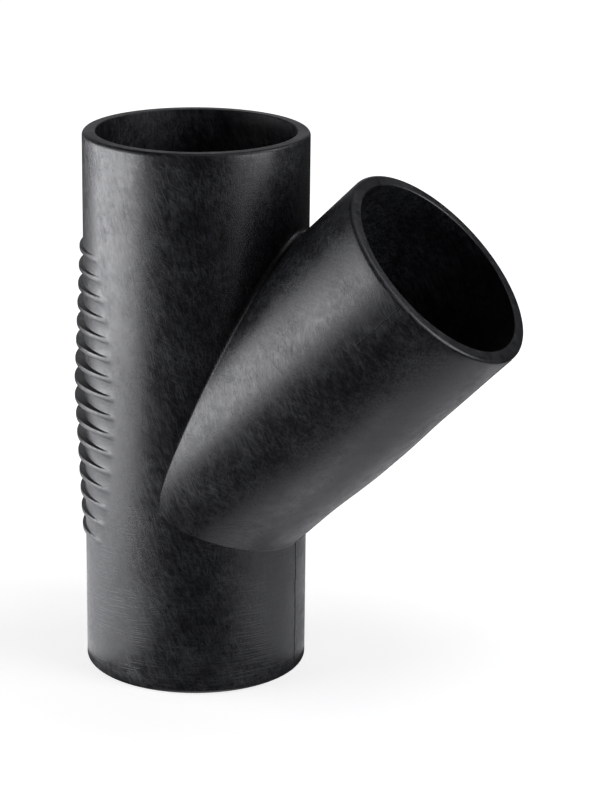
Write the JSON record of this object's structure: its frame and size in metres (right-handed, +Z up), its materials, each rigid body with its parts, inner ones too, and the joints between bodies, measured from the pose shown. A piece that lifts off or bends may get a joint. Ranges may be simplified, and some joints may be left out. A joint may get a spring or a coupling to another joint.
{
  "type": "lateral wye pipe fitting",
  "caption": "Lateral wye for drain pipe: a straight pipe with an equal branch leaning out at 45 degrees, stiffening ribs on its back and plain spigot ends for welding.",
  "frame": {"origin": "centre of the lower end face of the straight pipe, on its axis", "axes": "+Z up the straight pipe; the branch leaves towards +X and +Z, at 45 degrees to +Z in the XZ plane; the ribs are on the -X side"},
  "size_m": [0.2263, 0.11, 0.27],
  "materials": {
    "polyethylene": "satin moulded black polyethylene, finely scuffed"
  },
  "bodies": {
    "root": {"wye_body": "polyethylene"}
  },
  "joints": []
}
